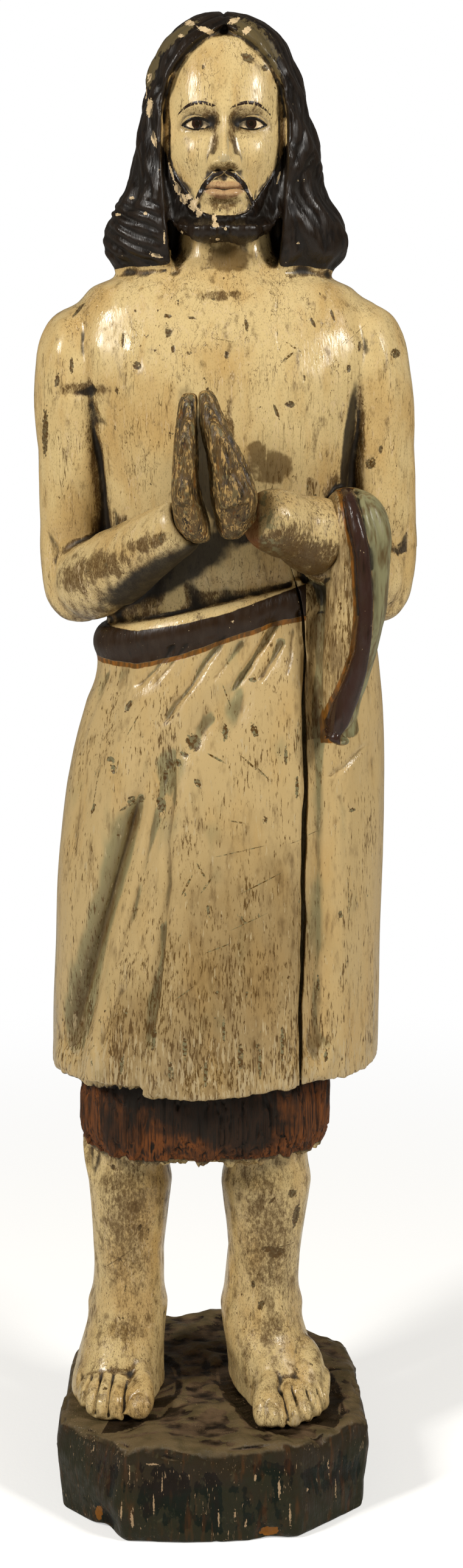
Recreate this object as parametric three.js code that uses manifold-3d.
// A carved and painted wooden santo, 1.1 m tall, standing barefoot on a plinth with its hands in prayer.
// Millimetres, +Z up. The origin is on the plinth's underside, below the figure. The figure faces -Y,
// and +X is on the right of someone who stands in front of it. "Left" and "right" are the figure's own.

import * as THREE from 'three';
import { mergeVertices } from 'three/addons/utils/BufferGeometryUtils.js';
import Module from 'manifold-3d';

const wasm = await Module();
wasm.setup();

// Driving dimensions
const PLINTH_HIGH = 73;
const GAP = 0.3;
const SOLE = PLINTH_HIGH + GAP;
const HEM = { z: 344, rise: 0.03 };
const WAIST = { z: 694, rise: 0.24 };
const BAND = { high: 21, proud: 2.5 };
const FACE = { x: 8.5, eyes: 1021, apart: 18.4, nose: 991, mouth: 977.5, chin: 950 };
const LOCKS = 11;
const TOE_RISE = 36;
const FINGER = { wide: 11, proud: 1.6 };
const CRACK_WIDE = 3;

const TURN = 2 * Math.PI;
const UP = new THREE.Vector3(0, 0, 1);
const FRONT = new THREE.Vector3(0, -1, 0);
const { clamp, degToRad, lerp, smoothstep } = THREE.MathUtils;

// Basic shapes

// A closed skin over rows of points, given from the top down, each going once round the same way.
// The rows are as many as the caller likes, and the middle of the first and last row close it.
function skin(rows) {
  const around = rows[0].length;
  const last = rows.length + 1;
  const geometry = new THREE.SphereGeometry(1, around, last);
  const { position, uv } = geometry.attributes;
  const middle = (row) => row.reduce((sum, p) => sum.add(p), new THREE.Vector3()).divideScalar(around);
  const [top, bottom] = [middle(rows[0]), middle(rows.at(-1))];
  for (let i = 0; i < position.count; i += 1) {
    const row = Math.round((1 - uv.getY(i)) * last);
    const column = Math.round(uv.getX(i) * around) % around;
    const point = row === 0 ? top : row === last ? bottom : rows[row - 1][column];
    position.setXYZ(i, point.x, point.y, point.z);
  }
  return geometry;
}

// The measures in a list of stations, worked out smoothly for any value of their first one.
function eased(stations) {
  const [key, ...names] = Object.keys(stations[0]);
  const sorted = [...stations].sort((a, b) => a[key] - b[key]);
  const values = sorted.flatMap((station) => names.map((name) => station[name]));
  const curve = new THREE.CubicInterpolant(sorted.map((station) => station[key]), values, names.length);
  return (value) => {
    const found = curve.evaluate(value);
    return Object.fromEntries([[key, value], ...names.map((name, i) => [name, found[i]])]);
  };
}

// A point of a rounded-square outline. half is half its width, front and back are its depths.
function onOutline({ x, y = 0, z, half, front, back, square = 2.3 }, angle) {
  const power = 2 / square;
  const bent = (value) => Math.sign(value) * Math.abs(value) ** power;
  const deep = Math.sin(angle) < 0 ? front : back;
  return new THREE.Vector3(x + half * bent(Math.cos(angle)), y + deep * bent(Math.sin(angle)), z);
}

// The points of an outline pushed outward by a relief. crowd draws them together towards the front.
function ring(station, around, relief = () => 0, crowd = 0) {
  const centre = new THREE.Vector3(station.x, station.y ?? 0, station.z);
  return Array.from({ length: around }, (_, i) => {
    const turned = (TURN * i) / around;
    const angle = Math.PI + turned + crowd * Math.cos(turned);
    const point = onOutline(station, angle);
    const outward = point.clone().sub(centre).normalize();
    return point.addScaledVector(outward, relief(point, angle));
  });
}

// A skin of rings at even heights from top to bottom.
function stack(stations, steps, around, relief, crowd) {
  const at = eased(stations);
  const heights = stations.map((station) => station.z);
  const [high, low] = [Math.max(...heights), Math.min(...heights)];
  const rows = Array.from({ length: steps + 1 }, (_, i) => {
    return ring(at(lerp(high, low, i / steps)), around, relief, crowd);
  });
  return skin(rows);
}

// A round limb through stops that give its middle, its width across and its height over.
// grow makes it fatter all round, for the clearance that a neighbour is cut with.
function limb(stops, around, steps, over = UP, grow = 0) {
  const path = new THREE.CatmullRomCurve3(stops.map((stop) => new THREE.Vector3(stop.x, stop.y, stop.z)));
  const size = eased(stops.map((stop, i) => ({ t: i / (stops.length - 1), wide: stop.wide, tall: stop.tall })));
  const rows = Array.from({ length: steps + 1 }, (_, i) => {
    const t = i / steps;
    const { wide, tall } = size(t);
    const along = path.getTangent(t);
    const across = new THREE.Vector3().crossVectors(along, over).normalize();
    const above = new THREE.Vector3().crossVectors(across, along).normalize();
    return Array.from({ length: around }, (_, k) => {
      const angle = (TURN * k) / around;
      return path
        .getPoint(t)
        .addScaledVector(across, (wide + grow) * Math.cos(angle))
        .addScaledVector(above, (tall + grow) * Math.sin(angle));
    });
  });
  return skin(rows);
}

function egg(x, y, z, wide, deep, tall, around = 8, rows = 6) {
  return new THREE.SphereGeometry(1, around, rows).rotateX(Math.PI / 2).scale(wide, deep, tall).translate(x, y, z);
}

// Booleans

function signedVolume(triVerts, points) {
  const corner = (i) => new THREE.Vector3().fromArray(points, triVerts[i] * 3);
  let total = 0;
  for (let i = 0; i < triVerts.length; i += 3) {
    total += corner(i).dot(corner(i + 1).cross(corner(i + 2)));
  }
  return total;
}

function solid(geometry) {
  geometry.deleteAttribute('normal');
  geometry.deleteAttribute('uv');
  const merged = mergeVertices(geometry, 1e-3);
  const triVerts = new Uint32Array(merged.index.array);
  const vertProperties = new Float32Array(merged.attributes.position.array);
  if (signedVolume(triVerts, vertProperties) < 0) triVerts.reverse();
  return new wasm.Manifold(new wasm.Mesh({ numProp: 3, vertProperties, triVerts }));
}

const joined = (geometries) => geometries.map(solid).reduce((whole, more) => whole.add(more));

function geometryOf(manifold) {
  const { vertProperties, triVerts } = manifold.getMesh();
  const geometry = new THREE.BufferGeometry();
  geometry.setAttribute('position', new THREE.BufferAttribute(vertProperties, 3));
  geometry.setIndex(new THREE.BufferAttribute(triVerts, 1));
  return geometry;
}

// Torso and arms

const TORSO = [
  { z: 938, x: 9, half: 30, front: 28, back: 34 },
  { z: 931, x: 8, half: 58, front: 32, back: 37 },
  { z: 921, x: 6, half: 82, front: 36, back: 41 },
  { z: 908, x: 6, half: 99, front: 41, back: 46 },
  { z: 890, x: 7, half: 112, front: 49, back: 52 },
  { z: 868, x: 8, half: 117, front: 56, back: 58 },
  { z: 840, x: 9, half: 109, front: 61, back: 60 },
  { z: 800, x: 10, half: 96, front: 63, back: 58 },
  { z: 750, x: 11, half: 90, front: 61, back: 54 },
  { z: 700, x: 11, half: 89, front: 59, back: 54 },
  { z: 640, x: 12, half: 90, front: 60, back: 58 },
];

// The chest swells on either side of a shallow breastbone, and the back has a hollow down its spine.
function torsoRelief(point) {
  const aside = Math.abs(point.x - FACE.x);
  const chest = Math.exp(-(((aside - 38) / 26) ** 2) - ((point.z - 848) / 30) ** 2);
  const belly = Math.exp(-((aside / 45) ** 2) - ((point.z - 735) / 30) ** 2);
  const spine = Math.exp(-((aside / 12) ** 2)) * smoothstep(point.z, 690, 760);
  return point.y < 0 ? 2.5 * chest + 2 * belly : -4 * spine;
}

const UPPER_ARMS = [
  [
    { x: -80, y: 3, z: 902, wide: 10, tall: 13 },
    { x: -90, y: 2, z: 884, wide: 25, tall: 31 },
    { x: -96, y: 0, z: 856, wide: 30, tall: 38 },
    { x: -98, y: 0, z: 800, wide: 27.5, tall: 33 },
    { x: -98, y: 2, z: 745, wide: 27, tall: 31 },
    { x: -97, y: 2, z: 700, wide: 26, tall: 29 },
    { x: -96, y: 0, z: 682, wide: 19, tall: 22 },
    { x: -96, y: 0, z: 675, wide: 9, tall: 11 },
  ],
  [
    { x: 92, y: 3, z: 904, wide: 10, tall: 13 },
    { x: 103, y: 2, z: 886, wide: 25, tall: 31 },
    { x: 111, y: 0, z: 856, wide: 29.5, tall: 38 },
    { x: 117, y: 0, z: 800, wide: 27.5, tall: 33 },
    { x: 119, y: 2, z: 745, wide: 28, tall: 31 },
    { x: 119, y: 2, z: 700, wide: 26, tall: 29 },
    { x: 118, y: 0, z: 682, wide: 19, tall: 22 },
    { x: 118, y: 0, z: 675, wide: 9, tall: 11 },
  ],
];

// The forearms start inside the elbows. The right one ends at the hand, the left one under the drape.
const RIGHT_FOREARM = [
  { x: -97, y: 4, z: 703, wide: 25, tall: 27 },
  { x: -84, y: -26, z: 708, wide: 27, tall: 29 },
  { x: -60, y: -60, z: 724, wide: 24, tall: 26 },
  { x: -34, y: -90, z: 743, wide: 19, tall: 21 },
  { x: -18, y: -104, z: 754, wide: 15, tall: 17 },
];
const LEFT_FOREARM = [
  { x: 119, y: 4, z: 703, wide: 25, tall: 27 },
  { x: 106, y: -26, z: 715, wide: 28, tall: 30 },
  { x: 79, y: -62, z: 739, wide: 26, tall: 28 },
];
const STUB = [
  { x: 77, y: -63.5, z: 740, wide: 24, tall: 26 },
  { x: 56, y: -82, z: 749, wide: 20, tall: 22 },
  { x: 33, y: -101, z: 759, wide: 16, tall: 18 },
];

// Skirt, with the band round its top and the end of cloth that hangs over the left forearm

const waistAt = (x) => WAIST.z + WAIST.rise * (x - FACE.x);
const hemAt = (x) => HEM.z + HEM.rise * x;

const SKIRT = [
  { t: 0, x: 12, half: 93, front: 63, back: 57 },
  { t: 0.1, x: 14, half: 101, front: 68, back: 63 },
  { t: 0.28, x: 10, half: 114, front: 75, back: 71 },
  { t: 0.5, x: 6, half: 120.5, front: 83, back: 79 },
  { t: 0.75, x: 3, half: 121.5, front: 91, back: 84 },
  { t: 1, x: 0.5, half: 123.5, front: 97, back: 87 },
];

// Folds are drawn as seen from the front. Each line runs down through points across and up.
const FOLDS = [
  { line: [[-35, 590], [-65, 476], [-110, 345]], wide: 11, deep: 9 },
  { line: [[-62, 650], [-84, 585], [-104, 520]], wide: 6, deep: 3 },
  { line: [[46, 682], [22, 644], [-8, 606]], wide: 6, deep: 6 },
  { line: [[51, 671], [31, 636], [14, 612]], wide: 6, deep: 5 },
  { line: [[2, 668], [-30, 630], [-48, 604]], wide: 5, deep: 4 },
  { line: [[118, 575], [98, 560], [88, 548]], wide: 5, deep: 3 },
];
const BACK_FOLDS = [
  { line: [[-60, 640], [-78, 500], [-88, 345]], wide: 9, deep: 5 },
  { line: [[-5, 650], [8, 500], [14, 345]], wide: 9, deep: 4 },
  { line: [[72, 640], [80, 500], [90, 345]], wide: 9, deep: 5 },
];
const PANEL_LEFT = [[-18, 620], [-28, 499], [-50, 345]];
const CRACK = [[58, 712], [65, 657], [66, 582], [64, 470], [63, 330]];

// The distance across and up from a point to the nearest part of a line.
function distanceTo(line, x, z) {
  const point = new THREE.Vector3(x, z, 0);
  const near = new THREE.Vector3();
  let least = Infinity;
  for (let i = 1; i < line.length; i += 1) {
    const part = new THREE.Line3(new THREE.Vector3(...line[i - 1], 0), new THREE.Vector3(...line[i], 0));
    least = Math.min(least, part.closestPointToPoint(point, true, near).distanceTo(point));
  }
  return least;
}

// Where a line that runs down stands across at height z.
function acrossAt(line, z) {
  const next = clamp(line.findIndex(([, high]) => high <= z), 1, line.length - 1);
  const [[xa, za], [xb, zb]] = [line[next - 1], line[next]];
  return lerp(xa, xb, clamp((za - z) / (za - zb), 0, 1));
}

const grooves = (folds, x, z) => folds.reduce((depth, { line, wide, deep }) => {
  return depth - deep * Math.exp(-((distanceTo(line, x, z) / wide) ** 2));
}, 0);

// The middle panel is a thickness of cloth over the rest: its left edge stands proud more and more
// towards the hem, and its right edge drops to a narrow strip beside the drape.
function skirtRelief(point, t) {
  const { x, z } = point;
  if (point.y > 0) return grooves(BACK_FOLDS, x, z);
  const beyond = x - acrossAt(PANEL_LEFT, z);
  const lap = smoothstep(beyond, -2, 6) * (1 - smoothstep(beyond, 10, 75)) * smoothstep(t, 0.25, 1);
  const strip = smoothstep(x - acrossAt(CRACK, z), -1, 4) * (1 - smoothstep(x, 78, 96));
  return grooves(FOLDS, x, z) + 6 * lap - 5 * strip * smoothstep(t, 0.05, 0.2);
}

// The rows of the skirt go round the other way, so that its faces lie along the slanting folds.
function skirt(around, steps) {
  const at = eased(SKIRT);
  const bandShare = BAND.high / (WAIST.z - HEM.z);
  const shares = [0, 0.004, bandShare - 0.004, bandShare + 0.004];
  for (let i = 1; i <= steps; i += 1) {
    shares.push(lerp(bandShare + 0.02, 1, i / steps));
  }
  const rows = shares.map((t, row) => {
    const band = row === 1 || row === 2 ? BAND.proud : 0;
    return ring({ ...at(t), z: 0 }, around, (point) => {
      point.z = lerp(waistAt(point.x), hemAt(point.x), t);
      return band + skirtRelief(point, t);
    }, 0.4).reverse();
  });
  const hem = rows.at(-1);
  const under = hem.map((p) => new THREE.Vector3(p.x * 0.93, p.y * 0.91, p.z + 0.5));
  const inside = hem.map((p) => new THREE.Vector3(p.x * 0.9, p.y * 0.88, p.z + 10));
  return skin([...rows, under, inside]);
}

// The drying check down the front is a narrow slot along the panel's right edge.
function crack() {
  const half = CRACK_WIDE / 2;
  const outline = new THREE.Shape([
    ...CRACK.map(([x, z]) => new THREE.Vector2(x - half, z)),
    ...[...CRACK].reverse().map(([x, z]) => new THREE.Vector2(x + half, z)),
  ]);
  const slot = new THREE.ExtrudeGeometry(outline, { depth: 75, bevelEnabled: false });
  return slot.rotateX(Math.PI / 2).translate(0, -50, 0);
}

const DRAPE = [
  { z: 772, x: 97, y: -62, half: 12, front: 16, back: 30 },
  { z: 764, x: 99, y: -60, half: 21, front: 27, back: 34 },
  { z: 750, x: 100.5, y: -58, half: 23, front: 33, back: 30 },
  { z: 715, x: 101, y: -56, half: 23, front: 37, back: 30 },
  { z: 680, x: 99.5, y: -56, half: 22, front: 38, back: 28 },
  { z: 655, x: 96, y: -56, half: 19.5, front: 37, back: 26 },
  { z: 630, x: 92, y: -56, half: 16.5, front: 35, back: 22 },
  { z: 612, x: 88, y: -58, half: 12.5, front: 31, back: 20 },
  { z: 602, x: 86, y: -60, half: 8, front: 24, back: 18 },
];

// A flat front panel, a rounded roll that swings across it to the tip, and a thin fold behind them.
function drapeRelief(point) {
  if (point.y > -60) return 0;
  const roll = lerp(103, 88, smoothstep(-point.z, -665, -605));
  const valley = Math.exp(-(((point.x - roll + 7) / 4) ** 2));
  const fold = Math.exp(-(((point.x - roll - 10) / 4) ** 2));
  return -5 * valley - 4 * fold;
}

// Raw wood left under the skirt, hewn in upright splinters

const RAW = [
  { z: 370, x: -7, half: 86, front: 66, back: 66, square: 3 },
  { z: 335, x: -7, half: 90, front: 69, back: 68, square: 3 },
  { z: 310, x: -8, half: 92, front: 70, back: 68, square: 3 },
  { z: 290, x: -8, half: 89, front: 68, back: 66, square: 3 },
  { z: 280, x: -8, half: 84, front: 62, back: 60, square: 2.8 },
];
const splinters = (point, angle) => 3 * Math.sin(9 * angle + 0.03 * point.z) + 2 * Math.sin(17 * angle + 1);

// Legs and feet. The outline of each height grows forward from the ankle to the forefoot.

const LEGS = [
  {
    turnOut: -0.05,
    stations: [
      { z: 300, x: -63, y: 6, half: 31, front: 34, back: 34 },
      { z: 250, x: -64, y: 6, half: 32, front: 36, back: 37 },
      { z: 201, x: -66.5, y: 6, half: 27.5, front: 32, back: 35 },
      { z: 170, x: -66, y: 6, half: 26.5, front: 29, back: 32 },
      { z: 148, x: -66.5, y: 6, half: 28.5, front: 29, back: 31 },
      { z: 130, x: -68, y: 6, half: 30, front: 32, back: 33 },
      { z: 112, x: -71, y: 6, half: 31.5, front: 40, back: 37 },
      { z: 98, x: -73.5, y: 6, half: 33, front: 48, back: 40 },
      { z: 86, x: -75, y: 6, half: 34.5, front: 54, back: 42 },
      { z: SOLE, x: -75.5, y: 6, half: 35, front: 56, back: 41 },
    ],
    toes: [[-56, -68, 9.5], [-71.5, -67, 7], [-83, -63, 6.3], [-93, -55, 6.3], [-102, -43, 6.3]],
  },
  {
    turnOut: 0.2,
    stations: [
      { z: 300, x: 40, y: 6, half: 34, front: 34, back: 34 },
      { z: 250, x: 40, y: 6, half: 35, front: 36, back: 37 },
      { z: 201, x: 39.5, y: 6, half: 28, front: 32, back: 35 },
      { z: 170, x: 38, y: 6, half: 28, front: 29, back: 32 },
      { z: 148, x: 36.5, y: 6, half: 29.5, front: 29, back: 31 },
      { z: 130, x: 37, y: 6, half: 31, front: 33, back: 33 },
      { z: 112, x: 41, y: 6, half: 32, front: 46, back: 37 },
      { z: 98, x: 45, y: 6, half: 33, front: 56, back: 40 },
      { z: 86, x: 47, y: 6, half: 33, front: 63, back: 42 },
      { z: SOLE, x: 48, y: 6, half: 33, front: 66, back: 41 },
    ],
    toes: [[44, -81, 9.5], [58.5, -79, 7], [70, -74, 6.3], [79.5, -66, 6.3], [87, -54, 6.3]],
  },
];

function leg({ stations, turnOut }, around, steps) {
  const at = eased(stations);
  const [high, ankle] = [stations[0].z, 130];
  const shaft = Array.from({ length: steps }, (_, i) => lerp(high, ankle, i / steps));
  const foot = [ankle, 120, 112, 104, 97, 90, 82, SOLE];
  const rows = [...shaft, ...foot].map((z) => {
    const low = smoothstep(high - z, high - ankle, high - SOLE - 10);
    return ring(at(z), around).map((point) => {
      point.x -= turnOut * low * point.y;
      return point;
    });
  });
  return skin(rows);
}

// A toe is a long drop that rises towards the instep, cut flat at the sole. Its place is its tip.
function toe([x, y, wide], turnOut) {
  const long = wide + 14;
  return new THREE.SphereGeometry(1, 6, 5)
    .scale(wide, long, wide + 0.5)
    .rotateX(degToRad(TOE_RISE))
    .rotateZ(-turnOut)
    .translate(x - turnOut * long, y + long * 0.86, SOLE + wide * 0.8 + long * 0.42);
}

// Head: a plain oval face, neck, forked beard and drooping moustache

const HEAD = [
  { z: 1090, x: 8.5, half: 16, front: 16, back: 20 },
  { z: 1084, x: 8.5, half: 30, front: 29, back: 34 },
  { z: 1070, x: 8.5, half: 40, front: 40, back: 46 },
  { z: 1052, x: 8.5, half: 45, front: 47, back: 52 },
  { z: 1034, x: 8.5, half: 46.5, front: 49.5, back: 54 },
  { z: 1015, x: 8.5, half: 45.5, front: 49, back: 52 },
  { z: 998, x: 8.5, half: 43.5, front: 49.5, back: 48 },
  { z: 982, x: 8.5, half: 40, front: 49, back: 44 },
  { z: 968, x: 8.5, half: 34, front: 48, back: 38 },
  { z: 957, x: 8.5, half: 26, front: 45, back: 34 },
  { z: 950, x: 8.5, half: 15, front: 37, back: 30 },
];
const NECK = [
  { z: 985, x: 9, half: 33, front: 26, back: 36 },
  { z: 955, x: 9, half: 34, front: 30, back: 38 },
  { z: 936, x: 10, half: 36, front: 32, back: 40 },
  { z: 915, x: 10, half: 42, front: 34, back: 42 },
];

// The eye sockets, brow and cheeks of the face.
function faceRelief(point) {
  if (point.y > 0) return 0;
  const aside = Math.abs(point.x - FACE.x);
  const spot = (side, z, wide, high) => Math.exp(-(((aside - side) / wide) ** 2) - ((point.z - z) / high) ** 2);
  const socket = spot(FACE.apart, FACE.eyes + 1, 11, 7);
  const brow = spot(FACE.apart, FACE.eyes + 12, 14, 5);
  const cheek = spot(27, FACE.nose + 8, 12, 11);
  const chin = spot(0, FACE.chin + 9, 12, 7);
  return 1.5 * brow + 2 * cheek + 3 * chin - 6 * socket;
}

function nose() {
  const { x, eyes } = FACE;
  return limb(
    [
      { x, y: -42, z: eyes + 9, wide: 4, tall: 6 },
      { x, y: -46, z: eyes - 4, wide: 5, tall: 9 },
      { x, y: -51, z: eyes - 18, wide: 7, tall: 11 },
      { x, y: -54, z: eyes - 26, wide: 9.5, tall: 11 },
      { x, y: -51, z: eyes - 31, wide: 7, tall: 7 },
    ],
    8, 5, FRONT,
  );
}

function beard() {
  const { x } = FACE;
  const jaw = [-1, 1].map((side) => limb(
    [
      { x: x + side * 41, y: -14, z: 1008, wide: 4, tall: 7 },
      { x: x + side * 38, y: -22, z: 988, wide: 8, tall: 12 },
      { x: x + side * 29, y: -32, z: 968, wide: 10, tall: 14 },
      { x: x + side * 15, y: -41, z: 955, wide: 12, tall: 14 },
      { x: x - side * 2, y: -43, z: 953, wide: 10, tall: 11 },
    ],
    8, 6,
  ));
  const lobes = [-1, 1].map((side) => egg(x + side * 13, -45, 951, 14, 14, 10, 8, 5));
  const moustache = [-1, 1].map((side) => limb(
    [
      { x: x + side * 2, y: -52, z: 987, wide: 2, tall: 2.5 },
      { x: x + side * 12, y: -50.5, z: 982, wide: 3, tall: 3.5 },
      { x: x + side * 20, y: -45, z: 970, wide: 3, tall: 4.5 },
      { x: x + side * 20, y: -45, z: 960, wide: 3, tall: 4 },
    ],
    6, 4,
  ));
  return [...jaw, ...lobes, ...moustache];
}

function head() {
  const { x, apart, eyes, mouth } = FACE;
  const sides = [-1, 1];
  return [
    stack(HEAD, 12, 20, faceRelief, 0.4),
    stack(NECK, 2, 12),
    nose(),
    ...sides.map((side) => egg(x + side * apart, -36, eyes, 11, 9, 6.5, 7, 5)),
    egg(x, -46.5, mouth + 2, 13, 5.5, 3.2, 8, 4),
    egg(x, -46, mouth - 3, 11, 5.5, 3.4, 8, 4),
    ...beard(),
  ];
}

// Hair: parted in the middle, waved down to the shoulders, with a window for the face

const HAIR = [
  { z: 1100, x: 5, y: 4, half: 6, front: 8, back: 10 },
  { z: 1097, x: 7, y: 4, half: 22, front: 24, back: 26 },
  { z: 1090, x: 9, y: 4, half: 33, front: 37, back: 38 },
  { z: 1078, x: 8, y: 4, half: 43, front: 48, back: 50 },
  { z: 1060, x: 8, y: 4, half: 52, front: 56, back: 58 },
  { z: 1040, x: 9, y: 4, half: 57, front: 59, back: 62 },
  { z: 1020, x: 9.5, y: 4, half: 61, front: 58, back: 64 },
  { z: 1000, x: 11, y: 4, half: 67.5, front: 56, back: 64 },
  { z: 986, x: 10, y: 4, half: 67, front: 54, back: 62 },
  { z: 972, x: 8, y: 4, half: 75, front: 53, back: 60 },
  { z: 956, x: 9.5, y: 4, half: 84, front: 50, back: 58 },
  { z: 942, x: 10, y: 4, half: 86.5, front: 46, back: 56 },
  { z: 928, x: 8, y: 4, half: 82, front: 40, back: 54 },
  { z: 918, x: 7, y: 4, half: 74, front: 34, back: 50 },
];

// Locks run from the parting over the ears, and wave from side to side as they fall.
function hairRelief(point, angle) {
  const drop = 1090 - point.z;
  const wave = 0.16 * Math.sin(drop / 15);
  const lock = Math.cos(LOCKS * 2 * (angle + wave));
  const parting = Math.exp(-(((point.x - FACE.x) / 5) ** 2)) * smoothstep(point.z, 1060, 1090);
  return 2.2 * lock * smoothstep(drop, 5, 40) - 3 * parting;
}

// The opening that shows the face and throat, cut through the hair from the front.
function faceWindow() {
  const { x } = FACE;
  const outline = new THREE.Shape();
  outline.moveTo(x, 1086);
  outline.quadraticCurveTo(x - 26, 1076, x - 38, 1052);
  outline.quadraticCurveTo(x - 46, 1030, x - 43, 1000);
  outline.quadraticCurveTo(x - 42, 970, x - 34, 905);
  outline.lineTo(x + 36, 905);
  outline.quadraticCurveTo(x + 42, 970, x + 44, 1000);
  outline.quadraticCurveTo(x + 46, 1030, x + 38, 1052);
  outline.quadraticCurveTo(x + 26, 1076, x, 1086);
  const window = new THREE.ExtrudeGeometry(outline, { depth: 90, bevelEnabled: false, curveSegments: 5 });
  return window.rotateX(Math.PI / 2).translate(0, -4, 0);
}

// Hands: flat palms with four fingers side by side, the little finger in front and shorter

const HANDS = {
  right: {
    palm: [
      { z: 841, x: -13.5, y: -110, half: 3.5, front: 7, back: 7 },
      { z: 832, x: -15.2, y: -110, half: 5.2, front: 12, back: 13 },
      { z: 815, x: -16.5, y: -110, half: 7.3, front: 17, back: 18 },
      { z: 796, x: -17, y: -109, half: 8.2, front: 20, back: 21 },
      { z: 777, x: -17.3, y: -108, half: 9.2, front: 22, back: 23 },
      { z: 762, x: -15, y: -106, half: 11, front: 22, back: 22 },
      { z: 750, x: -12, y: -104, half: 11, front: 20, back: 20 },
      { z: 742, x: -8.5, y: -103, half: 7, front: 13, back: 14 },
    ],
    side: -1,
  },
  left: {
    palm: [
      { z: 843, x: -4.5, y: -110, half: 3.5, front: 7, back: 7 },
      { z: 834, x: -2.2, y: -110, half: 5.8, front: 12, back: 13 },
      { z: 817, x: 2, y: -110, half: 9.5, front: 17, back: 18 },
      { z: 798, x: 9, y: -109, half: 12, front: 20, back: 21 },
      { z: 780, x: 13.5, y: -108, half: 14.5, front: 22, back: 23 },
      { z: 766, x: 16, y: -106, half: 15.5, front: 22, back: 22 },
      { z: 754, x: 14.5, y: -104, half: 11, front: 18, back: 19 },
      { z: 744, x: 13.5, y: -103, half: 5.5, front: 11, back: 12 },
    ],
    side: 1,
  },
};

// Three grooves part the fingers on the back of the hand, from the tips to the knuckles.
function fingerRelief(side, grow) {
  return (point, angle) => {
    const backOfHand = clamp(side * Math.cos(angle) + 0.55, 0, 1);
    const ridges = Math.cos(((point.y + 110) / FINGER.wide) * Math.PI) * smoothstep(point.z, 765, 790);
    return grow + FINGER.proud * (grow > 0 ? 1 : ridges) * backOfHand;
  };
}

function hand({ palm, side }, grow = 0) {
  const at = eased(palm);
  const little = at(808);
  const thumb = at(800);
  return [
    stack(palm, 8, 12, fingerRelief(side, grow)),
    limb(
      [
        { x: at(824).x, y: -125, z: 824, wide: 2.5, tall: 3 },
        { x: little.x + side, y: -128, z: 806, wide: little.half * 0.72, tall: 6 },
        { x: at(770).x + side, y: -126, z: 768, wide: at(770).half * 0.7, tall: 7 },
      ],
      6, 4, FRONT, grow,
    ),
    limb(
      [
        { x: at(818).x - side, y: -86, z: 818, wide: 3.5, tall: 4 },
        { x: thumb.x, y: -83, z: 800, wide: 6.5, tall: 7 },
        { x: at(765).x, y: -88, z: 764, wide: 9, tall: 9 },
      ],
      6, 4, FRONT, grow,
    ),
  ];
}

// The wrist of the left hand, which reaches back to the end of the forearm.
function leftWrist(grow = 0) {
  return limb(
    [
      { x: 12, y: -96, z: 757, wide: 9, tall: 9 },
      { x: 24, y: -93, z: 757, wide: 10, tall: 11 },
      { x: 36, y: -88, z: 758, wide: 8, tall: 9 },
    ],
    10, 3, UP, grow,
  );
}

// Plinth: an eight-sided length of log, hewn flat round the feet

const PLINTH_OUTLINE = [
  [-119, -25], [-118, -58], [-67, -110], [-22, -113], [22, -111], [64, -104], [116, -58], [117, -15],
  [112, 40], [104, 84], [48, 128], [0, 134], [-45, 130], [-110, 84], [-116, 45], [-118, 10],
];
const PLINTH_ROWS = [
  { z: 0, size: 0.975, rough: 0 },
  { z: 4, size: 0.99, rough: 1.5 },
  { z: 26, size: 1.005, rough: 2 },
  { z: 52, size: 1, rough: 2 },
  { z: 69, size: 0.985, rough: 2 },
  { z: 75, size: 0.95, rough: 2 },
  { z: 76, size: 0.83, rough: 2.5 },
  { z: 75, size: 0.6, rough: 2 },
  { z: 74, size: 0.3, rough: 1.5 },
];

function plinth() {
  const rows = PLINTH_ROWS.map(({ z, size, rough }, row) => PLINTH_OUTLINE.map(([x, y], i) => {
    const hewn = rough * Math.sin(2.4 * i + 1.7 * row);
    const flat = row > 4 ? 0 : hewn * 0.01;
    return new THREE.Vector3(x * (size + flat), y * (size + flat), row > 4 ? z + hewn * 0.5 : z);
  }));
  return skin(rows.reverse());
}

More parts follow.
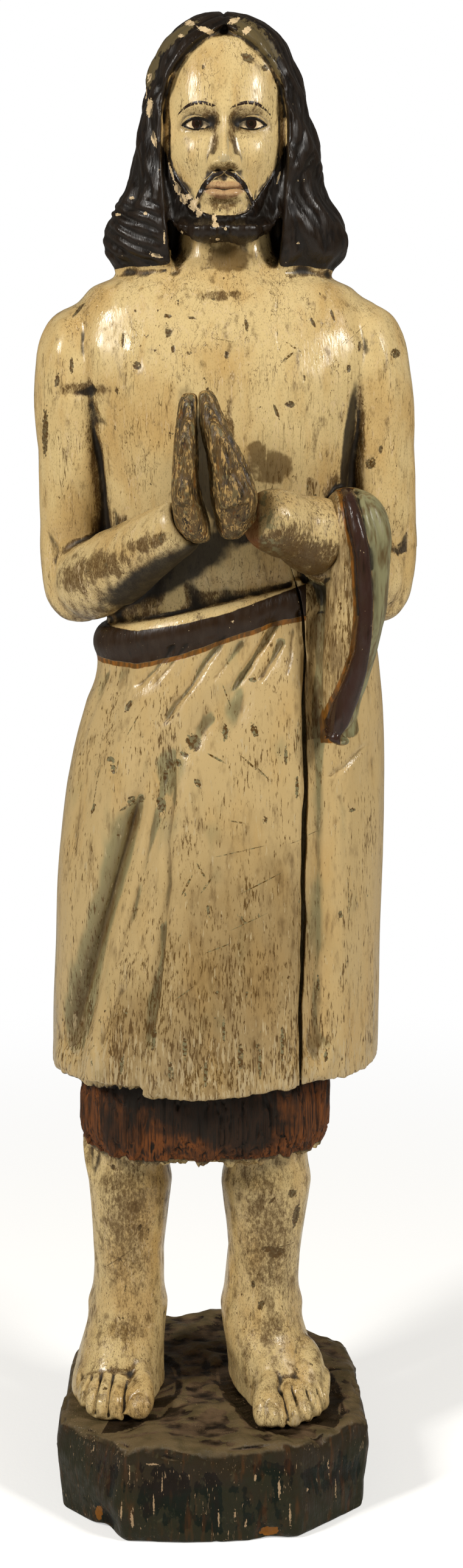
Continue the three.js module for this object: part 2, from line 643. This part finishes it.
// The hollow that each foot stands in, a little wider than the foot.
function footing({ stations, turnOut }) {
  const sole = stations.at(-1);
  const rows = [30, 0].map((lift) => {
    const wider = { ...sole, half: sole.half + 8, front: sole.front + 28, back: sole.back + 5 };
    return ring({ ...wider, z: PLINTH_HIGH + lift }, 14).map((point) => {
      point.x -= turnOut * point.y;
      return point;
    });
  });
  return skin(rows);
}

// The whole object

function figure() {
  const ground = new THREE.BoxGeometry(400, 400, 60).translate(0, 0, SOLE - 30);
  let whole = joined([
    stack(TORSO, 12, 26, torsoRelief, 0.2),
    ...UPPER_ARMS.map((stops) => limb(stops, 10, 7, FRONT)),
    limb(RIGHT_FOREARM, 12, 5),
    limb(LEFT_FOREARM, 12, 3),
  ]);
  whole = whole.add(solid(skirt(42, 12)).subtract(solid(crack())));
  whole = whole.add(solid(stack(DRAPE, 8, 16, drapeRelief, 0.35)));
  whole = whole.add(solid(stack(RAW, 3, 20, splinters)));
  for (const side of LEGS) {
    whole = whole.add(solid(leg(side, 13, 3)));
    whole = whole.add(joined(side.toes.map((place) => toe(place, side.turnOut))));
  }
  whole = whole.subtract(solid(ground));
  const hair = solid(stack(HAIR, 12, 33, hairRelief)).subtract(solid(faceWindow()));
  return whole.add(hair).add(joined(head()));
}

const leftForearm = solid(limb(STUB, 10, 2));
const rightHand = joined(hand(HANDS.right));
const leftHand = joined([...hand(HANDS.left), leftWrist()]).subtract(solid(limb(STUB, 10, 2, UP, GAP)));
const figureBody = figure()
  .subtract(joined(hand(HANDS.right, GAP)))
  .subtract(solid(limb(STUB, 10, 2, UP, GAP)));
const plinthBody = LEGS.reduce((body, side) => body.subtract(solid(footing(side))), solid(plinth()));

function piece(name, manifold, colour, roughness) {
  const material = new THREE.MeshStandardMaterial({ color: colour, roughness, metalness: 0 });
  const mesh = new THREE.Mesh(geometryOf(manifold), material);
  mesh.name = name;
  return mesh;
}

const santo = new THREE.Group();
santo.add(
  piece('figure', figureBody, 0xcdb684, 0.35),
  piece('left_forearm', leftForearm, 0xc0a672, 0.4),
  piece('right_hand', rightHand, 0x5a4a33, 0.5),
  piece('left_hand', leftHand, 0x6b5a3e, 0.5),
  piece('plinth', plinthBody, 0x3a2c22, 0.6),
);

export default santo;
